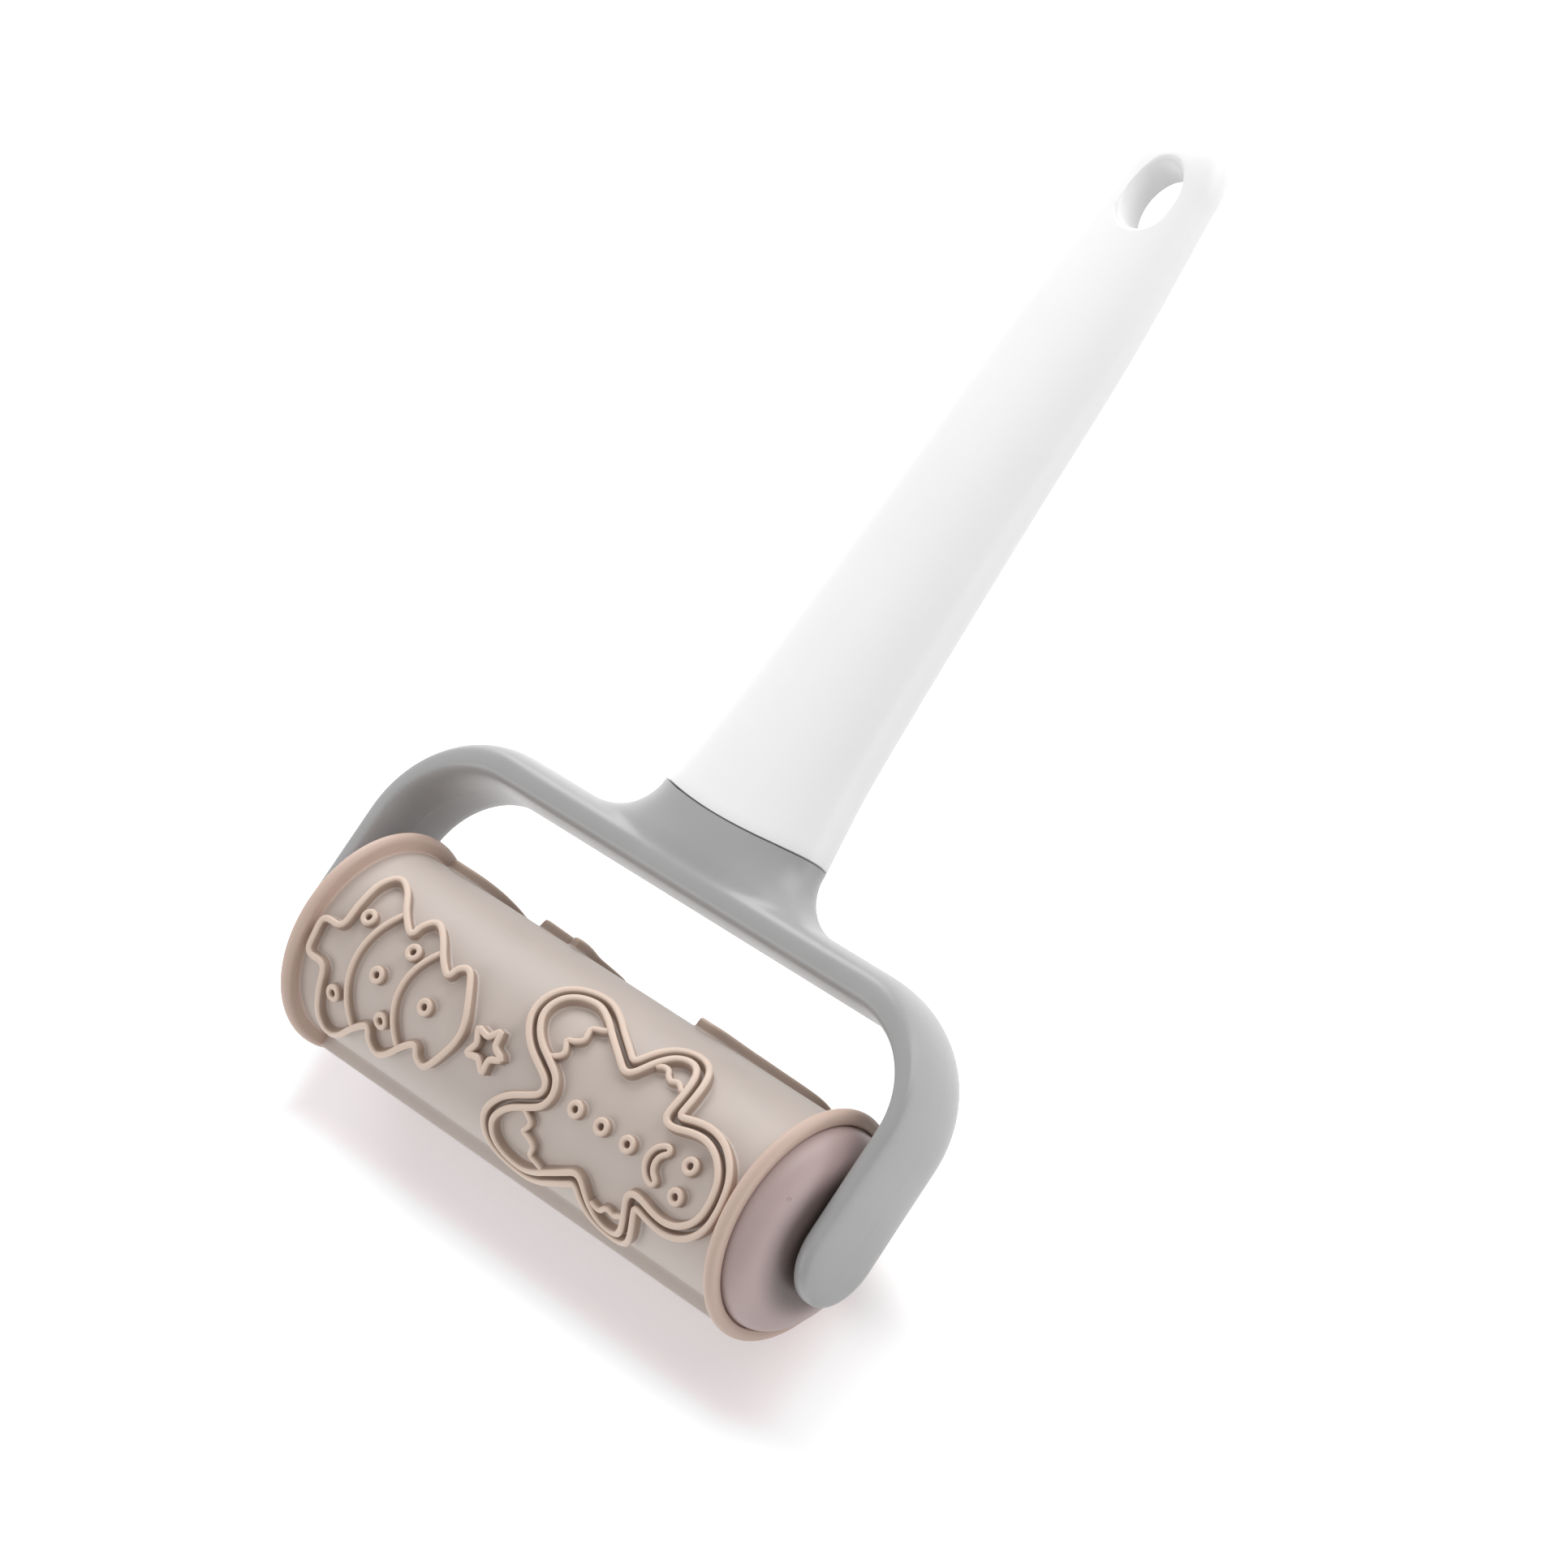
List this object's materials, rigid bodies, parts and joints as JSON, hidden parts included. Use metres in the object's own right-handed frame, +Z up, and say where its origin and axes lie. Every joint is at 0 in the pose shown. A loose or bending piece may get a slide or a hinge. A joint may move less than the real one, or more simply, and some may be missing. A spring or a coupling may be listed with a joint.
{
  "type": "dough roller cutter",
  "caption": "Hand roller for biscuit dough: a barrel with raised cutting and stamping ribs turns in a forked yoke on a tapered grip with a hang slot.",
  "frame": {"origin": "centre of the underside of the tool's box, on the surface it lies on", "axes": "+Y along the tool from the roller to the tip of the grip, +X along the roller's axle, +Z up, the tool lying on its flanges and the tip of its grip"},
  "size_m": [0.126, 0.2082, 0.041],
  "materials": {
    "grip_plastic": "white moulded plastic, soft gloss",
    "yoke_plastic": "light grey moulded plastic, satin gloss",
    "rod_steel": "plain drawn steel rod",
    "roller_plastic": "taupe moulded plastic, satin, paler and warmer on the rib tops",
    "cap_plastic": "taupe moulded plastic, satin"
  },
  "bodies": {
    "base": {"yoke_frame": "yoke_plastic", "handle_shell": "grip_plastic", "axle_rod": "rod_steel"},
    "roller": {"roller_barrel": "roller_plastic", "end_cap_left": "cap_plastic", "end_cap_right": "cap_plastic"}
  },
  "joints": [
    {"name": "roller_spin", "type": "hinge", "parent": "base", "child": "roller", "pos_m": [0, -0.08356, 0.0205], "axis": [1, 0, 0], "continuous": true}
  ]
}
